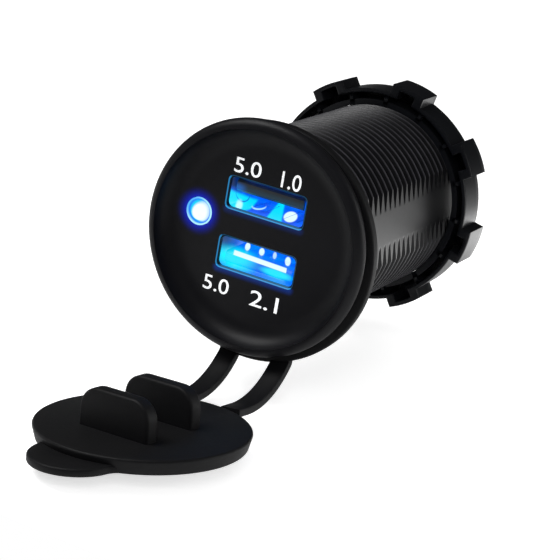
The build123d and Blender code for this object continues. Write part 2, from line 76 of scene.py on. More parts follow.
# Housing, in millimetres
flange_r = housing_high.x
flange_front = housing_low.y
flange_back = -1.6
face_y = flange_front + 3.4
barrel_end = housing_high.y
bore_r = 12.6
bore_depth = 3.0
rim_r = 17.7
rim_y = -3.3
lip_top = -4.7
lip_r = 16.3
flange_rear_r = 17.0
face_flat_r = 12.9
face_fill_r = 12.75

# Thread on the barrel
crest_r = 14.6
root_r = 13.75
pitch = 1.75
crest_w = 0.2
root_w = 0.45
thread_steps = 144
flat_x = 13.52
flat_turn = radians(10)

# Ports on the face
port_z = 4.57
port_rise = 0.7
mouth_w = 12.5
mouth_h = 4.6
mouth_round = 0.5
mouth_lead = 0.3
mouth_depth = 0.7

# Indicator: the bulb, and the collar in its recess
led_x = -10.5
led_z = 0.95
led_r = 1.5
led_rise = 0.9
led_ring_r = 2.1
dome_steps = 14
collar_hollow = 0.35
collar_slope = 0.25
collar_rim = 0.18
collar_proud = 0.08
collar_edge = 0.05
collar_depth = 0.8
recess_gap = 0.06
recess_depth = 0.6

# Ring nut: lengths in millimetres, turns in degrees, and each region's depth behind the front
nut_front = nut_low.y
nut_back = nut_high.y
nut_bore_r = 14.68
trough_in = 15.6
trough_out = 16.7
nut_r = 17.35
pocket_r = 18.15
lobe_r = 18.9
nut_edge = 0.16
lobe_half = 9
pocket_half = 4
lobe_start = -33
lobe_step = 45
rib_step = 22.5
rib_half = 1
half_face = 0.5
nut_depths = {"pocket": 4.4, "trough": 3.6, "collar": 0.8, "rib": 0.5, "rim": 0.0}

# Rubber cover
seal_t = 1.6
seal_in_r = 15.5
seal_edge = 0.3
seal_sag = (0.2, -0.9)
cover_turn = radians(7)
strap_x = 4.35
strap_w = 3.1
strap_t = 1.2
strap_edge = 0.3
strap_flare = 1.4
flare_steps = 8
strap_start_z = -(crest_r + flange_r) / 2
strap_down = 1.6
strap_root_bend = 1.0
strap_root_angle = radians(50.3)
strap_bend = 16.3
strap_rise = radians(7)
strap_run = 2.8
cap_droop = radians(2)
cap_r = 15.1
cap_t = 2.2
cap_taper = 0.6
cap_inner_edge = 0.35
cap_outer_edge = 0.3
cap_overlap = 0.6
cap_shift = -1.2
cap_twist = radians(9)
plug_w = 12.0
plug_t = 2.3
plug_h = 5.6
plug_root = 1.0
plug_round = 3.0
plug_edge = 0.45
tab_r = 6.3
tab_reach = 13.6
tab_t = 1.15
tab_blend = 2.5
tab_edge = 0.32

# Print on the face
ink_depth = 0.02
ink_spread = 0.004
ink_proud = 0.005

# Colours that more than one finish uses
black = (0.0, 0.0, 0.0)
mask_dark = (0.010, 0.085, 0.030)
mask_light = (0.015, 0.120, 0.045)

# Slopes of the line from a port to the camera, sideways and upwards
eye_right = 0.459
eye_up = 0.360

# Floor in metres, with a bright patch in millimetres that the barrel's flat and the nut mirror
floor_size = (1.6, 1.0)
floor_middle_y = 0.44
floor_gap = 0.0001
floor_seen = 0.62
floor_mirrored = 0.12
patch_at = (75.0, 108.0)
patch_half = (55.0, 44.0)
patch_light = 3.2

# Room: its light on surfaces, in reflections, and in reflections below the horizon; lamps' aim in metres
room_light = 0.3
room_mirrored = 0.02
room_low_mirrored = 0.35
lamp_target = (0, 0.01, 0)

# Camera, in millimetres and degrees
camera_at = Vector((113.96, -240.76, 80.75))
camera_azimuth = radians(24.63)
camera_elevation = radians(18.14)
camera_roll = radians(10.06)
camera_lens = 122.16


class Term:
    """A socket in a node tree, with the arithmetic that the finishes use."""

    def __init__(self, tree, socket):
        self.tree = tree
        self.socket = socket

    def maths(self, operation, first, second=0.0):
        return self.tree.node("ShaderNodeMath", {"operation": operation}, {0: first, 1: second})

    def __add__(self, other):
        return self.maths("ADD", self, other)

    def __radd__(self, other):
        return self.maths("ADD", other, self)

    def __sub__(self, other):
        return self.maths("SUBTRACT", self, other)

    def __rsub__(self, other):
        return self.maths("SUBTRACT", other, self)

    def __mul__(self, other):
        return self.maths("MULTIPLY", self, other)

    def __rmul__(self, other):
        return self.maths("MULTIPLY", other, self)

    def __truediv__(self, other):
        return self.maths("DIVIDE", self, other)

    def __pow__(self, other):
        return self.maths("POWER", self, other)

    def __abs__(self):
        return self.maths("ABSOLUTE", self)

    def root(self):
        return self.maths("SQRT", self)

    def above(self, edge, soft):
        """1 where this is above an edge and 0 below it, with a soft step."""
        ease = {"interpolation_type": "SMOOTHSTEP"}
        low = edge - soft / 2
        high = edge + soft / 2
        return self.tree.node("ShaderNodeMapRange", ease, {"Value": self, "From Min": low, "From Max": high})

    def below(self, edge, soft):
        return 1 - self.above(edge, soft)


class Tree:
    """A node tree to which one method adds any node."""

    def __init__(self, nodes_of):
        nodes_of.use_nodes = True
        self.tree = nodes_of.node_tree

    def node(self, kind, settings=None, inputs=None, output=0):
        """Adds a node, its settings first and then the values or links of its sockets."""
        made = self.tree.nodes.new(kind)
        for key, value in (settings or {}).items():
            setattr(made, key, value)
        for key, value in (inputs or {}).items():
            self.feed(made.inputs[key], value)
        return Term(self, made.outputs[output])

    def feed(self, socket, value):
        """Links a term to a socket, or sets a plain value on it."""
        if isinstance(value, Term):
            self.tree.links.new(value.socket, socket)
        elif isinstance(value, tuple) and len(value) == 3 and socket.type == "RGBA":
            socket.default_value = (*value, 1.0)
        else:
            socket.default_value = value

    def mix(self, factor, first, second):
        """Mixes two colours."""
        kind = {"data_type": "RGBA"}
        return self.node("ShaderNodeMix", kind, {0: factor, 6: first, 7: second}, 2)


class Finish(Tree):
    """A material with a Principled shader."""

    def __init__(self, name, **plain):
        self.material = bpy.data.materials.new(name)
        super().__init__(self.material)
        self.shader = self.tree.nodes["Principled BSDF"]
        for key, value in plain.items():
            self.put(key.title(), value)

    def put(self, name, value):
        """Sets or links one of the shader's sockets."""
        self.feed(self.shader.inputs[name], value)

    def place(self):
        """The point on the piece, in metres."""
        return self.node("ShaderNodeTexCoord", output="Object")

    def axes(self):
        """The point's three coordinates, in millimetres."""
        point = self.place()
        return [self.node("ShaderNodeSeparateXYZ", inputs={0: point}, output=i) / mm for i in range(3)]

    def noise(self, size, detail=2.0, stretch=(1, 1, 1)):
        """Noise whose features are about size millimetres across, stretched along the axes."""
        point = self.node("ShaderNodeMapping", inputs={"Vector": self.place(), "Scale": stretch})
        inputs = {"Vector": point, "Scale": 1 / (size * mm), "Detail": detail}
        return self.node("ShaderNodeTexNoise", inputs=inputs)

    def bands(self, scale, settings):
        """Even bands across the piece."""
        return self.node("ShaderNodeTexWave", settings, {"Vector": self.place(), "Scale": scale})

    def bump(self, height, depth):
        """Raises the surface by a height from 0 to 1 times a depth in millimetres."""
        inputs = {"Height": height, "Distance": depth * mm, "Strength": 1.0}
        self.put("Normal", self.node("ShaderNodeBump", inputs=inputs))

    def glow(self, base, light, strength=1.0):
        """Sets the base colour and the light that is painted over it, and returns the material."""
        self.put("Base Color", base)
        self.put("Emission Color", light)
        self.put("Emission Strength", strength)
        return self.material


def spot(x, z, centre, half, soft=0.5):
    """A soft-edged ellipse, 1 inside and 0 outside."""
    across = (x - centre[0]) / half[0]
    along = (z - centre[1]) / half[1]
    return (across * across + along * along).root().below(1.0, soft)


def moulded(name, dark, light, rough, grain, depth):
    """Black moulded plastic: a fine eroded grain, slight colour drift and uneven sheen."""
    finish = Finish(name)
    finish.put("Specular IOR Level", 0.2)
    fine = finish.noise(grain, 4)
    drift = finish.noise(7, 3)
    finish.put("Base Color", finish.mix(drift, dark, light))
    finish.put("Roughness", rough + (drift - 0.5) * 0.10 + (fine - 0.5) * 0.08)
    finish.bump(fine, depth)
    return finish


def port_name(side):
    return "upper" if side > 0 else "lower"


def port_middle(side):
    """Height of a port's middle: side is 1 for the upper port and -1 for the lower one."""
    return port_rise + side * port_z


def beyond(value, edge):
    """How far a value lies past an edge, and 0 before it."""
    past = value - edge
    return past.maths("MAXIMUM", past, 0.0)


def port_haze(x, z, side):
    """The faint light on the face just below a port's mouth."""
    below = beyond(port_middle(side) - z, mouth_h / 2 + mouth_lead)
    beside = beyond(abs(x), mouth_w / 2 - 0.2)
    inside = (z - port_middle(side)).below(-mouth_h / 2, 0.3)
    away = (below * below + beside * beside).root()
    return away.below(0.5, 1.0) * inside


def mouth_lines(x, y, z, side):
    """The light on the edges of a port's mouth: bright along the bottom, faint along the left and the top."""
    up = z - port_middle(side)
    near = abs(up).below(mouth_h / 2 + mouth_lead, 0.05) * abs(x).below(mouth_w / 2 + mouth_lead, 0.05)
    edge = y.above(face_y + 0.02, 0.04) * y.below(face_y + 0.16, 0.08)
    low = up.below(-mouth_h / 2 + 0.05, 0.1)
    left = x.below(-mouth_w / 2 + 0.05, 0.1)
    return near * (edge * (0.12 + left * 0.4 + low * 0.6) + y.above(face_y + 0.2, 0.2) * low * 0.25)


def face_plastic():
    """The face's plastic, with the blue light of the indicator and the ports on it."""
    finish = moulded("face_plastic", (0.0035, 0.0035, 0.0045), (0.0055, 0.0055, 0.0070), 0.46, 0.22, 0.010)
    x, y, z = finish.axes()
    away = ((x - led_x) ** 2.0 + (z - led_z) ** 2.0).root()
    halo = away.below(2.7, 2.8) ** 1.6 * y.below(face_y + 1.0, 0.5)
    haze = (port_haze(x, z, 1) * 0.5 + port_haze(x, z, -1)) * y.below(face_y + 0.05, 0.04)
    lines = mouth_lines(x, y, z, 1) + mouth_lines(x, y, z, -1)
    light = finish.mix(halo, black, (0.0, 0.015, 0.62))
    light = finish.mix(haze, light, (0.0, 0.020, 0.16))
    light = finish.mix(lines, light, (0.03, 0.42, 0.95))
    finish.put("Emission Color", light)
    finish.put("Emission Strength", 1.0)
    return finish.material


def through_mouth(x, y, z):
    """The place on the face's plane in front of a point in a port, for an eye at the front right."""
    depth = y - face_y
    return x + depth * eye_right, z + depth * eye_up


def upper_light(finish, a, b):
    """Light in the upper port: blue, with two cyan patches, a white round spot and small glints.

    Both ports' lights are laid out in millimetres on the face's plane, a to the right and b upwards.
    """
    mottle = finish.noise(2.5, 1).above(0.5, 0.4)
    colour = finish.mix(mottle, (0.0, 0.055, 0.62), (0.0, 0.13, 1.0))
    left = (a + 1.9 - (b - 4.6) * 0.4).below(0.0, 0.5)
    left = left * (b - 3.0 - (a + 3.5) * 0.6).above(0.0, 0.5) * b.below(5.6, 0.7)
    middle = (a - 1.15 - (b - 4.5) * 0.47).above(0.0, 0.4) * a.below(2.97, 0.4)
    colour = finish.mix(left + middle, colour, (0.0, 0.72, 1.0))
    arc = spot(a, b, (-4.0, 5.6), (1.1, 1.15), 0.15) * (1 - spot(a, b, (-4.05, 5.75), (1.05, 1.10), 0.2))
    colour = finish.mix(arc, colour, (0.0, 0.12, 0.45))
    level = b - (a + 1.0) * 0.3
    smile = spot(a, level, (-1.05, 4.62), (1.15, 0.62), 0.2)
    smile = smile * (1 - spot(a, level, (-1.05, 4.90), (1.2, 0.62), 0.25))
    disc = spot(a, b - (a - 4.3) * 0.29, (4.30, 4.51), (1.08, 0.92), 0.25)
    glint = spot(a, b, (-4.25, 3.75), (0.5, 0.85), 0.9)
    colour = finish.mix(smile * 0.8 + glint, colour, (0.55, 0.95, 1.0))
    colour = finish.mix(disc, colour, (0.78, 1.0, 1.0))
    # Painted shade in the upper left of the port.
    dark = b.above(5.9, 1.3) * a.below(-4.0, 1.0)
    return finish.mix(dark, colour, (0.0, 0.010, 0.05))


def lower_light(finish, a, b):
    """Light in the lower port: blue, four oval glints on the contacts, and a bright bar with cyan ends."""
    mottle = finish.noise(2.5, 1).above(0.5, 0.5)
    colour = finish.mix(mottle, (0.0, 0.10, 0.80), (0.0, 0.19, 1.0))
    left = spot(a, b, (-3.7, -4.1), (3.2, 1.7), 1.2) * b.below(-2.4, 1.2)
    right = spot(a, b, (3.6, -4.65), (2.4, 0.6), 0.9)
    colour = finish.mix(left + right, colour, (0.0, 0.80, 1.0))
    # Painted shade in the upper left corner of the port.
    corner = spot(a, b, (-6.4, -1.4), (2.6, 1.9), 1.3)
    colour = finish.mix(corner, colour, (0.0, 0.012, 0.04))
    drop = b + (a - 0.7) * 0.024
    bright = drop.below(-3.22, 0.14) * drop.above(-3.98, 0.14) * a.above(-3.75, 0.3) * a.below(5.15, 0.15)
    glints = (
        ((-1.78, -1.94), (0.42, 0.66), 0.35, 1.0),
        ((0.67, -2.05), (0.44, 0.60), 0.35, 1.0),
        ((2.87, -1.98), (0.30, 0.55), 0.40, 0.7),
        ((5.14, -2.22), (0.46, 0.70), 0.35, 1.0),
    )
    for centre, half, soft, strength in glints:
        bright = bright + spot(a, b, centre, half, soft) * strength
    return finish.mix(bright, colour, (0.78, 1.0, 0.97))


def port_light(finish, place, side):
    """The light at a place in the upper port (side 1) or the lower one (side -1)."""
    light = upper_light if side > 0 else lower_light
    return light(finish, *through_mouth(*place))


def lit_shell(side):
    """Plated steel, with the port's blue light from behind painted on it and a painted bright line on its
    front edge.
    """
    finish = Finish(port_name(side) + "_lit_steel", metallic=0.5, roughness=0.35)
    x, y, z = finish.axes()
    up = z - port_middle(side)
    outside = abs(up).above(mouth_h / 2 + 0.45, 0.1) + abs(x).above(mouth_w / 2 + 0.2, 0.1)
    light = finish.mix(outside, port_light(finish, (x, y, z), side), (0.0, 0.03, 0.2))
    edge = y.below(shell_front + 0.12, 0.1) * up.below(-mouth_h / 2, 0.1)
    light = finish.mix(edge, light, (0.55, 0.75, 1.0) if side > 0 else (0.45, 0.85, 1.0))
    base = finish.mix(finish.noise(3, 2), (0.10, 0.10, 0.11), (0.16, 0.16, 0.18))
    return finish.glow(base, light)


def lit_tongue(side):
    """Dark plastic with the port's light painted on it: dim teal light on the front of the upper tongue, and
    the bright bar on the lower one.
    """
    finish = Finish(port_name(side) + "_lit_plastic", roughness=0.4)
    x, y, z = finish.axes()
    light = port_light(finish, (x, y, z), side)
    if side > 0:
        front = y.below(tongue_front + 0.6, 0.3)
        dim = finish.mix(z.above(6.3, 1.0), (0.0, 0.022, 0.040), (0.0, 0.002, 0.004))
        blue = x.below(-4.4, 1.8) * z.below(6.4, 1.0)
        light = finish.mix(front, light, finish.mix(blue, dim, (0.0, 0.10, 0.42)))
    base = finish.mix(finish.noise(1.5, 2), (0.010, 0.011, 0.013), (0.020, 0.022, 0.025))
    return finish.glow(base, light)


def lit_contacts(side):
    """Gold-plated strips with the port's light painted on them, fading to painted shade deeper in the port.
    """
    finish = Finish(port_name(side) + "_lit_gold", metallic=1.0, roughness=0.3)
    x, y, z = finish.axes()
    light = finish.mix(y.above(8.0, 3.0), port_light(finish, (x, y, z), side), black)
    base = finish.mix(finish.noise(1.2, 2), (0.40, 0.30, 0.12), (0.52, 0.42, 0.22))
    return finish.glow(base, light, 0.9)


def lit_lens():
    """The indicator's clear bulb and collar: white core, cyan flank, blue edge and a bright rim."""
    finish = Finish("indicator_glass", roughness=0.12)
    x, _, z = finish.axes()
    a = x - led_x
    b = z - led_z
    core = spot(a, b, (0.35, 0.0), (1.15, 1.40), 0.5)
    flank = spot(a, b, (-0.05, 0.0), (1.60, 1.65), 0.5)
    rim = (a * a + b * b).root().above(led_ring_r - 0.22, 0.1)
    bright = (a * 0.8 - b * 0.6).above(-1.0, 3.0)
    light = finish.mix(flank, (0.0, 0.07, 0.95), (0.0, 0.62, 1.0))
    light = finish.mix(core, light, (0.95, 1.0, 1.0))
    light = finish.mix(rim, light, finish.mix(bright, (0.05, 0.42, 0.95), (0.45, 0.90, 1.0)))
    base = finish.mix(finish.noise(1.0, 2), (0.01, 0.02, 0.04), (0.02, 0.04, 0.08))
    return finish.glow(base, light)


def black_rubber():
    """Soft black rubber: dull, with a fine uneven skin."""
    finish = Finish("black_rubber")
    finish.put("Specular IOR Level", 0.2)
    fine = finish.noise(0.35, 4)
    drift = finish.noise(9, 3)
    finish.put("Base Color", finish.mix(drift, (0.0028, 0.0028, 0.0032), (0.0050, 0.0050, 0.0058)))
    finish.put("Roughness", 0.58 + (drift - 0.5) * 0.12 + (fine - 0.5) * 0.08)
    finish.bump(fine, 0.012)
    return finish.material


def threaded_plastic():
    """The barrel's glossy plastic, with a painted highlight: the crests of the thread are paler, more in some
    patches than in others.
    """
    dark = (0.0025, 0.0025, 0.0032)
    finish = moulded("barrel_plastic", dark, (0.0045, 0.0045, 0.0055), 0.32, 0.5, 0.003)
    x, _, z = finish.axes()
    # Painted highlight on the crests of the thread, stronger in uneven patches.
    crest = (x * x + z * z).root().above(crest_r - 0.1, 0.1)
    patchy_crest_highlight = finish.noise(3, 3).above(0.45, 0.5)
    finish.put("Base Color", finish.mix(crest * (0.5 + patchy_crest_highlight * 0.5), dark, (0.035, 0.035, 0.04)))
    finish.put("Specular IOR Level", 0.3)
    return finish.material


def white_print():
    """White print, a little uneven where the ink is thin."""
    finish = Finish("white_print", roughness=0.5)
    tone = finish.mix(finish.noise(0.4, 3), (0.86, 0.88, 0.90), (0.95, 0.96, 0.97))
    # The print also glows faintly in its own colour: painted light that keeps it white.
    return finish.glow(tone, tone, 0.35)


def board_mask():
    """Green solder mask over copper tracks."""
    finish = Finish("solder_mask", roughness=0.32)
    track = finish.bands(260.0, {"wave_type": "BANDS"}).above(0.75, 0.1)
    tone = finish.mix(finish.noise(2, 2), mask_dark, mask_light)
    finish.put("Base Color", finish.mix(track, tone, (0.03, 0.19, 0.07)))
    finish.bump(track, 0.02)
    return finish.material


def lit_board():
    """The front board's solder mask in the blue light of its two lamps."""
    finish = Finish("lit_solder_mask", roughness=0.35)
    x, y, z = finish.axes()
    lamps = spot(x, z, (0.0, port_rise), (8.0, 9.0), 1.0) * y.below(board_front + 0.2, 0.1)
    tone = finish.mix(finish.noise(2, 2), mask_dark, mask_light)
    return finish.glow(tone, finish.mix(lamps, black, (0.0, 0.25, 1.0)))


def metal(name, dark, light, rough):
    """Plated metal with faint drawing lines."""
    finish = Finish(name, metallic=1.0)
    lines = finish.noise(0.5, 3, (1, 0.08, 1))
    finish.put("Base Color", finish.mix(lines, dark, light))
    finish.put("Roughness", rough + (lines - 0.5) * 0.15)
    finish.bump(lines, 0.004)
    return finish.material


def winding():
    """Enamelled copper wire, wound in rows."""
    finish = Finish("enamelled_copper", metallic=0.9, roughness=0.3)
    rows = finish.bands(900.0, {"bands_direction": "Z"})
    finish.put("Base Color", finish.mix(rows, (0.30, 0.10, 0.04), (0.80, 0.34, 0.14)))
    finish.bump(rows, 0.08)
    return finish.material


def dull(name, dark, light, rough, size):
    """A plain component's body with a mottled surface."""
    finish = Finish(name)
    mottle = finish.noise(size, 4)
    finish.put("Base Color", finish.mix(mottle, dark, light))
    finish.put("Roughness", rough + (mottle - 0.5) * 0.1)
    finish.bump(mottle, 0.01)
    return finish.material


def new_piece(name, bm, finish, body="socket", crease=30, stands_for=()):
    """Makes a piece from a mesh in millimetres; it rides on a body and may stand for CAD nodes."""
    bmesh.ops.scale(bm, vec=(mm, mm, mm), verts=bm.verts)
    mesh = bpy.data.meshes.new(name)
    bm.to_mesh(mesh)
    bm.free()
    mesh.shade_smooth()
    mesh.set_sharp_from_angle(angle=radians(crease))
    mesh.materials.append(finish)
    piece = bpy.data.objects.new(name, mesh)
    bpy.context.scene.collection.objects.link(piece)
    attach(piece, body)
    if stands_for:
        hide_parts(*stands_for)
    return piece


def arc_point(start, end, share):
    """A point on the arc from one arm to another of the same length."""
    return start.normalized().slerp(end.normalized(), share) * start.length


def rounded_line(corners, steps=6):
    """A line through corners given as (a, b, radius), with an arc at each corner that has a radius."""
    line = []
    for i, (a, b, radius) in enumerate(corners):
        here = Vector((a, b))
        if radius == 0:
            line.append(here)
            continue
        before = (Vector(corners[i - 1][:2]) - here).normalized()
        after = (Vector(corners[(i + 1) % len(corners)][:2]) - here).normalized()
        half = before.angle(after) / 2
        centre = here + (before + after).normalized() * (radius / sin(half))
        start = here + before * (radius / tan(half)) - centre
        end = here + after * (radius / tan(half)) - centre
        line += [centre + arc_point(start, end, k / steps) for k in range(steps + 1)]
    return line


def only(items, kind):
    """The verts, edges or faces among an operator's results."""
    return [item for item in items if isinstance(item, kind)]


def everything(bm):
    return list(bm.verts) + list(bm.edges) + list(bm.faces)


def verts_of(faces):
    return list({v for f in faces for v in f.verts})


def sharp_edges(bm, angle):
    """Edges at which two faces turn by more than an angle in degrees."""
    return [e for e in bm.edges if e.calc_face_angle(0) > radians(angle)]


def new_rectangle(bm, width, height, place):
    """Adds a flat rectangle, square to its place's own Z axis, and returns its corners."""
    verts = bmesh.ops.create_grid(bm, x_segments=1, y_segments=1, size=0.5)["verts"]
    bmesh.ops.transform(bm, matrix=place @ Matrix.Diagonal((width, height, 1, 1)), verts=verts)
    return verts


def new_line(bm, points, closed=False):
    """Adds a line of edges through points, and returns its verts and edges."""
    verts = [bm.verts.new(point) for point in points]
    ends = verts[1:] + verts[:1] if closed else verts[1:]
    return verts + [bm.edges.new(pair) for pair in zip(verts, ends)]


def soften(bm, geom, offset, segments, affect="EDGES", clamp=False):
    """Rounds edges, or the corners of a flat shape."""
    bmesh.ops.bevel(
        bm, geom=geom, offset=offset, offset_type="OFFSET", segments=segments,
        profile=0.5, affect=affect, material=-1, clamp_overlap=clamp,
    )


def pull_out(bm, faces, move):
    """Extrudes faces, moves the new ones and returns them."""
    moved = only(bmesh.ops.extrude_face_region(bm, geom=faces)["geom"], BMFace)
    bmesh.ops.translate(bm, vec=move, verts=verts_of(moved))
    return moved


def bend(bm, faces, centre, angle, steps):
    """Carries faces round an axis along X, and returns the last ones."""
    made = bmesh.ops.spin(bm, geom=faces, axis=(1, 0, 0), cent=centre, angle=-angle, steps=steps)
    return only(made["geom_last"], BMFace)


def spin_line(bm, line, axis, place, steps=240, closed=False):
    """Spins a line round an axis. place turns each of the line's points into a point in space."""
    geom = new_line(bm, [place(point) for point in line], closed)
    bmesh.ops.spin(bm, geom=geom, axis=axis, cent=(0, 0, 0), angle=tau, steps=steps, use_merge=True)
    bmesh.ops.remove_doubles(bm, verts=bm.verts, dist=0.0005)


def about_y(point):
    """A point of a profile given as (radius, y)."""
    return (point.x, point.y, 0)


def about_z(point):
    """A point of a profile given as (radius, z)."""
    return (point.x, 0, point.y)


def outwards(bm):
    bmesh.ops.recalc_face_normals(bm, faces=bm.faces)


def bezel_profile():
    """Flange from its back edge, widening to the front, over the lip and down the cove to the flat face."""
    line = rounded_line([
        (crest_r - 1, flange_back, 0),
        (flange_rear_r, flange_back, 0.3),
        (rim_r, rim_y, 0.0),
    ], 4)
    lip_steps = 14
    for k in range(1, lip_steps + 1):
        turn = pi / 2 * k / lip_steps
        line.append(Vector((lip_r + (rim_r - lip_r) * cos(turn), rim_y + (lip_top - rim_y) * sin(turn))))
    cove_steps = 18
    for k in range(1, cove_steps + 1):
        turn = pi / 2 * (1 - k / cove_steps)
        out = face_flat_r + (lip_r - face_flat_r) * sin(turn)
        line.append(Vector((out, face_y + (lip_top - face_y) * (1 - cos(turn)))))
    line.append(Vector((face_fill_r, face_y)))
    return line


def on_face(x, z):
    """The place on the face where a flat shape stands upright."""
    return Matrix.Translation((x, face_y, z)) @ Matrix.Rotation(pi / 2, 4, "X")


def mouth_outline(bm, z):
    """The edges of a port's mouth on the face, with room for its sloping lead-in."""
    verts = new_rectangle(bm, mouth_w + 2 * mouth_lead, mouth_h + 2 * mouth_lead, on_face(0, z))
    soften(bm, verts, mouth_round + mouth_lead, 6, affect="VERTICES")
    middle = Vector((0, face_y, z))
    inside = [f for f in bm.faces if (f.calc_center_median() - middle).length < 0.5]
    loop = list(inside[0].edges)
    bmesh.ops.delete(bm, geom=inside, context="FACES_ONLY")
    return loop


def recess_outline(bm):
    """The edges of the indicator's round recess on the face."""
    radius = led_ring_r + recess_gap
    made = bmesh.ops.create_circle(
        bm, cap_ends=False, segments=72, radius=radius, matrix=on_face(led_x, led_z))
    return list({e for v in made["verts"] for e in v.link_edges})


def sink_loop(bm, edges, depth, inset=0.0):
    """Carries a hole's edges into the face, and moves them inwards."""
    made = bmesh.ops.extrude_edge_only(bm, edges=edges)["geom"]
    verts = only(made, BMVert)
    middle = sum((v.co for v in verts), Vector()) / len(verts)
    for v in verts:
        v.co.x -= copysign(inset, v.co.x - middle.x)
        v.co.z -= copysign(inset, v.co.z - middle.z)
        v.co.y += depth
    return only(made, BMEdge)


def make_bezel(finish):
    """Flange, lip, cove and flat face in one surface, with two port mouths and the indicator's recess."""
    bm = bmesh.new()
    spin_line(bm, bezel_profile(), (0, 1, 0), about_y)
    rim = [e for e in bm.edges if e.is_boundary and e.verts[0].co.xz.length < face_fill_r + 0.01]
    upper = mouth_outline(bm, port_middle(1))
    lower = mouth_outline(bm, port_middle(-1))
    recess = recess_outline(bm)
    bmesh.ops.triangle_fill(bm, use_beauty=True, edges=rim + recess + upper + lower, normal=(0, -1, 0))
    for mouth in (upper, lower):
        throat = sink_loop(bm, mouth, mouth_lead, mouth_lead)
        sink_loop(bm, throat, mouth_depth - mouth_lead)
    sink_loop(bm, recess, recess_depth)
    outwards(bm)
    return new_piece("bezel", bm, finish, crease=28, stands_for=("socket_housing",))


def thread_profile():
    """One pitch of the thread as (radius, y) points: root, flank, crest, flank."""
    flank = (pitch - crest_w - root_w) / 2
    y = flange_back - 2 * pitch
    return [
        Vector((root_r, y)),
        Vector((root_r, y + root_w)),
        Vector((crest_r, y + root_w + flank)),
        Vector((crest_r, y + root_w + flank + crest_w)),
        Vector((root_r, y + pitch)),
    ]


def cut_flat(bm, direction):
    """Cuts a flat along the barrel and presses what stood proud of it onto the flat."""
    bmesh.ops.bisect_plane(
        bm, geom=everything(bm), dist=1e-5, plane_co=direction * flat_x, plane_no=direction)
    for v in bm.verts:
        proud = v.co.dot(direction) - flat_x
        if proud > 0:
            v.co -= direction * proud


def trim(bm, y, keep_below):
    """Cuts everything off beyond a plane across the axis, and returns the cut's edges."""
    made = bmesh.ops.bisect_plane(
        bm, geom=everything(bm), dist=1e-5, plane_co=(0, y, 0), plane_no=(0, 1, 0),
        clear_outer=keep_below, clear_inner=not keep_below,
    )
    return only(made["geom_cut"], BMEdge)


def one_turn():
    """One turn of the thread, as a mesh that repeats along the axis."""
    bm = bmesh.new()
    geom = new_line(bm, [about_y(point) for point in thread_profile()])
    rise = (0, pitch / thread_steps, 0)
    bmesh.ops.spin(
        bm, geom=geom, axis=(0, 1, 0), cent=(0, 0, 0), dvec=rise, angle=tau, steps=thread_steps)
    mesh = bpy.data.meshes.new("turn")
    bm.to_mesh(mesh)
    bm.free()
    return mesh


def make_barrel(finish):
    """The barrel: a right-handed thread cut by two flats, with a wall round its rear opening."""
    bm = bmesh.new()
    turn = one_turn()
    turns = int((barrel_end - flange_back) / pitch) + 4
    for _ in range(turns):
        bmesh.ops.translate(bm, vec=(0, pitch, 0), verts=bm.verts)
        bm.from_mesh(turn)
    bpy.data.meshes.remove(turn)
    bmesh.ops.remove_doubles(bm, verts=bm.verts, dist=0.001)
    trim(bm, flange_back - 0.2, keep_below=False)
    end = trim(bm, barrel_end, keep_below=True)
    outer = Vector((cos(flat_turn), 0, sin(flat_turn)))
    cut_flat(bm, outer)
    cut_flat(bm, -outer)
    end = [e for e in end if e.is_valid and e.is_boundary]
    wall = bmesh.ops.extrude_edge_only(bm, edges=end)["geom"]
    for v in only(wall, BMVert):
        v.co.xz = v.co.xz.normalized() * bore_r
    bore = bmesh.ops.extrude_edge_only(bm, edges=only(wall, BMEdge))["geom"]
    bmesh.ops.translate(bm, vec=(0, -bore_depth, 0), verts=only(bore, BMVert))
    outwards(bm)
    return new_piece("threaded_barrel", bm, finish, crease=14)


def nut_turn(point):
    """How far a point is turned about the nut's axis from straight up, in degrees."""
    return degrees(Vector((0, 1)).angle_signed(point.xz))


def from_lobe(turn):
    """How far a turn is from the middle of the nearest lobe, in degrees."""
    return (turn - lobe_start + lobe_step / 2) % lobe_step - lobe_step / 2


def nut_region(face):
    """The region of the nut's front in which a face lies."""
    middle = face.calc_center_median()
    radius = middle.xz.length
    turn = nut_turn(middle)
    off_lobe = abs(from_lobe(turn))
    off_rib = abs((turn - lobe_start) % rib_step - rib_step / 2)
    if radius > nut_r and off_lobe > lobe_half + half_face:
        return "outside"
    if trough_in < radius < pocket_r and off_lobe < pocket_half + half_face:
        return "pocket"
    if radius < trough_in:
        return "collar"
    if radius < trough_out:
        return "rib" if off_rib < rib_half else "trough"
    return "rim"


def make_nut(finish):
    """The ring nut, raised region by region from its back face, with eight hollow lobes."""
    bm = bmesh.new()
    radii = [nut_bore_r, trough_in, trough_out, nut_r, pocket_r, lobe_r]
    spin_line(bm, [Vector((r, nut_back)) for r in radii], (0, 1, 0), about_y, steps=360)
    turn = Matrix.Rotation(radians(half_face), 3, "Y")
    bmesh.ops.rotate(bm, cent=(0, 0, 0), matrix=turn, verts=bm.verts)
    outside = [f for f in bm.faces if nut_region(f) == "outside"]
    bmesh.ops.delete(bm, geom=outside, context="FACES")
    tops = list(bm.faces)
    level = nut_back
    for region, depth in nut_depths.items():
        tops = pull_out(bm, tops, (0, nut_front + depth - level, 0))
        level = nut_front + depth
        tops = [f for f in tops if nut_region(f) != region]
    for v in bm.verts:
        if v.co.xz.length > nut_r + 0.1:
            narrow_lobe(v)
    outwards(bm)
    soften(bm, [e for e in bm.edges if on_nut_rim(e)], nut_edge, 2, clamp=True)
    return new_piece("hand_nut", bm, finish, body="ring_nut", crease=32, stands_for=("ring_nut",))


def on_nut_rim(edge):
    """Whether an edge is a sharp one round the nut's front or back."""
    sharp = edge.is_manifold and edge.calc_face_angle(0) > radians(50)
    return sharp and any(all(abs(v.co.y - y) < 0.01 for v in edge.verts) for y in (nut_front, nut_back))


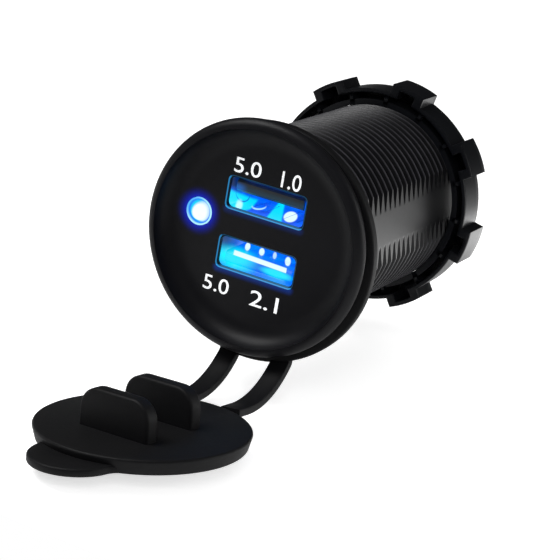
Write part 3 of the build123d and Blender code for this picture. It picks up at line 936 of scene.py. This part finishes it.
def narrow_lobe(v):
    """Keeps a lobe's sides parallel: a corner far out moves in towards the lobe's middle line."""
    turn = nut_turn(v.co)
    off = radians(from_lobe(turn))
    middle = radians(turn) - off
    along = Vector((sin(middle), cos(middle)))
    side = Vector((cos(middle), -sin(middle)))
    v.co.xz = along * (v.co.xz.length * cos(off)) + side * (nut_r * sin(off))


def strap_section(bm, width):
    """The strap's rounded section, as a face across its path where it leaves the ring."""
    verts = new_rectangle(bm, width, strap_t, Matrix.Translation((0, -seal_t / 2, strap_start_z)))
    soften(bm, verts, strap_edge, 3, affect="VERTICES")
    return list(bm.faces)


def make_strap():
    """One strap as its own mesh: it flares at the ring, runs down and forwards, and rises into the cap."""
    bm = bmesh.new()
    width = strap_w + 2 * strap_flare
    faces = strap_section(bm, width)
    for k in range(1, flare_steps + 1):
        faces = pull_out(bm, faces, (0, 0, -strap_down / flare_steps))
        narrower = strap_w + 2 * strap_flare * (1 - sin(pi / 2 * k / flare_steps))
        for v in verts_of(faces):
            v.co.x *= narrower / width
        width = narrower
    centre = Vector((0, -seal_t / 2 - strap_root_bend, strap_start_z - strap_down))
    faces = bend(bm, faces, centre, strap_root_angle, 8)
    out = Vector((0, cos(strap_root_angle), -sin(strap_root_angle)))
    centre += out * (strap_root_bend - strap_bend)
    faces = bend(bm, faces, centre, pi / 2 + strap_rise - strap_root_angle, 20)
    pull_out(bm, faces, Vector((0, -cos(strap_rise), sin(strap_rise))) * strap_run)
    outwards(bm)
    return bm


def strap_end():
    """Middle of a strap's far end in Y and Z."""
    point = Vector((-seal_t / 2 - strap_root_bend, strap_start_z - strap_down))
    point += Vector((cos(strap_root_angle), -sin(strap_root_angle))) * (strap_root_bend - strap_bend)
    last = pi / 2 + strap_rise
    point += Vector((cos(last), -sin(last))) * strap_bend
    return point + Vector((-cos(strap_rise), sin(strap_rise))) * strap_run


def cap_place():
    """Where the cap lies: its origin is the middle of its inner face."""
    end = strap_end()
    lift = cap_t - strap_t / 2
    reach = cap_r - cap_overlap
    y = end.x - reach * cos(cap_droop) + lift * sin(cap_droop)
    z = end.y - reach * sin(cap_droop) + lift * cos(cap_droop)
    lean = Matrix.Rotation(-cap_droop, 4, "X") @ Matrix.Rotation(-cap_twist, 4, "Z")
    return Matrix.Translation((cap_shift, y, z)) @ lean


def make_plug(y):
    """A plug: a slab with rounded top corners and softened edges, with its root inside the cap."""
    bm = bmesh.new()
    tall = plug_h + plug_root
    stand = Matrix.Translation((0, plug_t / 2, tall / 2 - plug_root)) @ Matrix.Rotation(pi / 2, 4, "X")
    verts = new_rectangle(bm, plug_w, tall, stand)
    soften(bm, [v for v in verts if v.co.z > 0], plug_round, 12, affect="VERTICES")
    pull_out(bm, list(bm.faces), (0, -plug_t, 0))
    outwards(bm)
    soften(bm, sharp_edges(bm, 60), plug_edge, 4)
    bmesh.ops.translate(bm, vec=(0, y, 0), verts=bm.verts)
    return bm


def tab_outline():
    """The pull tab's edge: a round end and two hollow arcs that run into the cap's edge."""
    root = cap_r - cap_taper
    far = root + tab_blend
    near = tab_r + tab_blend
    spread = acos((far**2 + tab_reach**2 - near**2) / (2 * far * tab_reach))
    neck = Vector((far * sin(spread), -far * cos(spread)))
    tip = Vector((0, -tab_reach))
    to_cap = -neck.normalized()
    to_tip = (tip - neck).normalized()
    right = [neck + to_cap.slerp(to_tip, k / 10) * tab_blend for k in range(11)]
    start = (right[-1] - tip).normalized()
    sweep = start.angle(Vector((0, -1)))
    round_end = [tip + Matrix.Rotation(-sweep * k / 18, 2) @ start * tab_r for k in range(1, 19)]
    half = [Vector((0, 0))] + right + round_end
    mirrored = [Vector((-p.x, p.y)) for p in reversed(half[1:-1])]
    return half + mirrored


def make_tab():
    """The pull tab, flush with the cap's outer face and thinner than the cap."""
    bm = bmesh.new()
    verts = [bm.verts.new((p.x, p.y, -cap_t)) for p in tab_outline()]
    pull_out(bm, [bm.faces.new(verts)], (0, 0, tab_t))
    outwards(bm)
    soften(bm, sharp_edges(bm, 70), tab_edge, 3)
    return bm


def make_cap_disc():
    """The cap's disc with its tapered wall and softened edges."""
    bm = bmesh.new()
    line = rounded_line([
        (0, 0, 0),
        (cap_r, 0, cap_inner_edge),
        (cap_r - cap_taper, -cap_t, cap_outer_edge),
        (0, -cap_t, 0),
    ], 5)
    spin_line(bm, line, (0, 0, 1), about_z, steps=192)
    outwards(bm)
    return bm


def make_seal_ring():
    """The ring under the flange, with softened edges. It hangs a little lower than the barrel's middle."""
    bm = bmesh.new()
    line = rounded_line([
        (seal_in_r, flange_back, 0),
        (flange_r, flange_back, seal_edge),
        (flange_r, 0, seal_edge),
        (seal_in_r, 0, 0),
    ], 4)
    spin_line(bm, line, (0, 1, 0), about_y, closed=True)
    bmesh.ops.translate(bm, vec=(seal_sag[0], 0, seal_sag[1]), verts=bm.verts)
    outwards(bm)
    return bm


def add_mesh(bm, other, place=None):
    """Adds another mesh to bm, moved to its place."""
    if place:
        bmesh.ops.transform(other, matrix=place, verts=other.verts)
    mesh = bpy.data.meshes.new("joined")
    other.to_mesh(mesh)
    other.free()
    bm.from_mesh(mesh)
    bpy.data.meshes.remove(mesh)


def make_cover(finish):
    """The rubber cover: ring, two straps, cap, two plugs and tab."""
    bm = make_seal_ring()
    for x in (-strap_x, strap_x):
        add_mesh(bm, make_strap(), Matrix.Translation((x, 0, 0)))
    cap = make_cap_disc()
    add_mesh(cap, make_tab())
    for y in (-port_rise - port_z, -port_rise + port_z):
        add_mesh(cap, make_plug(y))
    add_mesh(bm, cap, cap_place())
    bmesh.ops.rotate(bm, cent=(0, 0, 0), matrix=Matrix.Rotation(-cover_turn, 3, "Y"), verts=bm.verts)
    return new_piece("soft_cover", bm, finish, crease=35, stands_for=("rubber_cover",))


def make_lens(finish):
    """The indicator: a domed bulb in a shallow collar with a raised rim."""
    bm = bmesh.new()
    nose = face_y - led_rise
    turns = [pi / 2 * k / dome_steps for k in range(dome_steps + 1)]
    line = [Vector((led_r * sin(a), nose + led_r * (1 - cos(a)))) for a in turns]
    line += rounded_line([
        (led_r, face_y + collar_hollow, 0),
        (led_ring_r - collar_slope, face_y + collar_hollow, 0),
        (led_ring_r - collar_rim, face_y - collar_proud, collar_edge),
        (led_ring_r, face_y - collar_proud, collar_edge),
        (led_ring_r, face_y + collar_depth, 0),
        (0, face_y + collar_depth, 0),
    ], 3)
    spin_line(bm, line, (0, 1, 0), about_y, steps=96)
    outwards(bm)
    bmesh.ops.translate(bm, vec=(led_x, 0, led_z), verts=bm.verts)
    return new_piece("indicator_bulb", bm, finish, stands_for=("indicator_led",))


def make_mark(name, words, left, right, low, high, finish):
    """A printed number that fills a box on the face, given by its sides in millimetres."""
    curve = bpy.data.curves.new(name, "FONT")
    curve.body = words
    curve.extrude = ink_depth
    curve.offset = ink_spread
    holder = bpy.data.objects.new(name + "_text", curve)
    bpy.context.scene.collection.objects.link(holder)
    bpy.context.view_layer.update()
    mesh = bpy.data.meshes.new_from_object(holder)
    bpy.data.objects.remove(holder)
    bm = bmesh.new()
    bm.from_mesh(mesh)
    bpy.data.meshes.remove(mesh)
    xs = [v.co.x for v in bm.verts]
    ys = [v.co.y for v in bm.verts]
    wide = (right - left) / (max(xs) - min(xs))
    tall = (high - low) / (max(ys) - min(ys))
    fit = Matrix.Translation((left, face_y - ink_proud, low)) @ Matrix.Rotation(pi / 2, 4, "X")
    fit = fit @ Matrix.Diagonal((wide, tall, 1, 1)) @ Matrix.Translation((-min(xs), -min(ys), 0))
    bmesh.ops.transform(bm, matrix=fit, verts=bm.verts)
    bmesh.ops.remove_doubles(bm, verts=bm.verts, dist=1e-4)
    return new_piece(name, bm, finish)


def make_floor():
    """A wide pale floor just below the cap. It starts close in front of the object."""
    bm = bmesh.new()
    low = cad_box[0][2] - floor_gap
    new_rectangle(bm, *floor_size, Matrix.Translation((0, floor_middle_y, low)))
    mesh = bpy.data.meshes.new("floor")
    bm.to_mesh(mesh)
    bm.free()
    floor = bpy.data.objects.new("floor", mesh)
    bpy.context.scene.collection.objects.link(floor)
    finish = Finish("floor_paper", roughness=0.9)
    seen = finish.node("ShaderNodeLightPath", output="Is Camera Ray")
    mirrored = finish.node("ShaderNodeLightPath", output="Is Glossy Ray")
    x, y, _ = finish.axes()
    patch = spot(x, y, patch_at, patch_half, 0.9)
    paper = finish.mix(finish.noise(40, 2), (0.86, 0.86, 0.86), (0.88, 0.88, 0.88))
    finish.glow(paper, seen * floor_seen + mirrored * (floor_mirrored + patch * patch_light))
    finish.put("Specular IOR Level", 0.0)
    mesh.materials.append(finish.material)


def make_world():
    """White to the camera and dim in reflections, a little brighter below the horizon."""
    world = bpy.data.worlds.new("studio")
    bpy.context.scene.world = world
    tree = Tree(world)
    background = tree.tree.nodes["Background"]
    camera = tree.node("ShaderNodeLightPath", output="Is Camera Ray")
    glossy = tree.node("ShaderNodeLightPath", output="Is Glossy Ray")
    through = tree.node("ShaderNodeLightPath", output="Is Transmission Ray")
    ray = tree.node("ShaderNodeTexCoord", output="Generated")
    height = tree.node("ShaderNodeSeparateXYZ", inputs={0: ray}, output="Z")
    level = camera + through + glossy * (height.below(0.02, 0.2) * room_low_mirrored + room_mirrored)
    rest = (1 - camera) * (1 - glossy) * (1 - through) * room_light
    tree.feed(background.inputs["Strength"], level + rest)
    background.inputs["Color"].default_value = (1, 1, 1, 1)


def area_light(name, at, size, power, mirrored=True):
    """A soft rectangular lamp aimed at the object; it may stay out of reflections. Places are in metres."""
    data = bpy.data.lights.new(name, "AREA")
    data.shape = "RECTANGLE"
    data.size, data.size_y = size
    data.energy = power
    lamp = bpy.data.objects.new(name, data)
    aim = (Vector(lamp_target) - Vector(at)).to_track_quat("-Z", "Y")
    lamp.matrix_world = Matrix.Translation(at) @ aim.to_matrix().to_4x4()
    lamp.visible_glossy = mirrored
    bpy.context.scene.collection.objects.link(lamp)


def make_lights():
    area_light("upper_left_softbox", (-0.24, -0.12, 0.36), (0.22, 0.22), 1.4)
    area_light("front_softbox", (0.25, -0.45, 0.30), (0.30, 0.30), 1.6, mirrored=False)
    area_light("right_strip", (0.40, 0.20, 0.10), (0.10, 0.30), 0.6)


def make_camera():
    data = bpy.data.cameras.new("camera")
    data.sensor_width = 36
    data.lens = camera_lens
    camera = bpy.data.objects.new("camera", data)
    turn = Matrix.Rotation(camera_azimuth, 4, "Z") @ Matrix.Rotation(pi / 2 - camera_elevation, 4, "X")
    turn = turn @ Matrix.Rotation(camera_roll, 4, "Z")
    camera.matrix_world = Matrix.Translation(camera_at * mm) @ turn
    bpy.context.scene.collection.objects.link(camera)
    bpy.context.scene.camera = camera


def paint(node, finish):
    """Gives a CAD node its finish."""
    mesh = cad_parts[node].data
    mesh.materials.clear()
    mesh.materials.append(finish)


def paint_inside():
    """Finishes of the ports and of the parts inside and behind the barrel."""
    for side in (1, -1):
        where = port_name(side)
        paint(f"{where}_port_shell", lit_shell(side))
        paint(f"{where}_tongue", lit_tongue(side))
        paint(f"{where}_contacts", lit_contacts(side))
    mask = board_mask()
    tin = metal("tinned_metal", (0.62, 0.62, 0.60), (0.80, 0.79, 0.76), 0.34)
    brass = metal("tinned_brass", (0.66, 0.64, 0.56), (0.82, 0.80, 0.72), 0.30)
    epoxy = dull("moulded_epoxy", (0.012, 0.012, 0.012), (0.03, 0.03, 0.03), 0.6, 0.6)
    paint("front_board", lit_board())
    paint("power_board", mask)
    for node in ("board_link_pins", "indicator_leads"):
        paint(node, tin)
    for node in ("positive_blade", "negative_blade"):
        paint(node, brass)
    for node in ("control_chips", "rectifier_diode", "chip_resistors"):
        paint(node, epoxy)
    paint("inductor_core", dull("ferrite", (0.045, 0.045, 0.05), (0.09, 0.09, 0.10), 0.7, 0.8))
    paint("inductor_winding", winding())
    paint("capacitors", metal("sleeved_can", (0.35, 0.37, 0.42), (0.62, 0.64, 0.68), 0.35))
    paint("resettable_fuse", dull("coated_polymer", (0.55, 0.32, 0.03), (0.75, 0.47, 0.08), 0.45, 1.2))
    paint("port_leds", lit_shell(-1))


def make_object():
    """Every visible piece, with its finish."""
    barrel_plastic = threaded_plastic()
    nut_plastic = moulded(
        "nut_plastic", (0.0030, 0.0033, 0.0042), (0.0055, 0.0060, 0.0075), 0.32, 0.35, 0.010)
    make_bezel(face_plastic())
    make_barrel(barrel_plastic)
    make_nut(nut_plastic.material)
    make_cover(black_rubber())
    make_lens(lit_lens())
    paint("rear_cover", barrel_plastic)
    paint_inside()
    ink = white_print()
    make_mark("upper_left_mark", "5.0", -5.9, -1.5, 8.4, 10.7, ink)
    make_mark("upper_right_mark", "1.0", 1.9, 5.1, 8.15, 10.6, ink)
    make_mark("lower_left_mark", "5.0", -7.9, -3.6, -10.3, -8.0, ink)
    make_mark("lower_right_mark", "2.1", 0.1, 4.8, -10.6, -8.15, ink)


make_object()
make_floor()
make_world()
make_lights()
make_camera()
bpy.context.scene.view_settings.view_transform = "Standard"
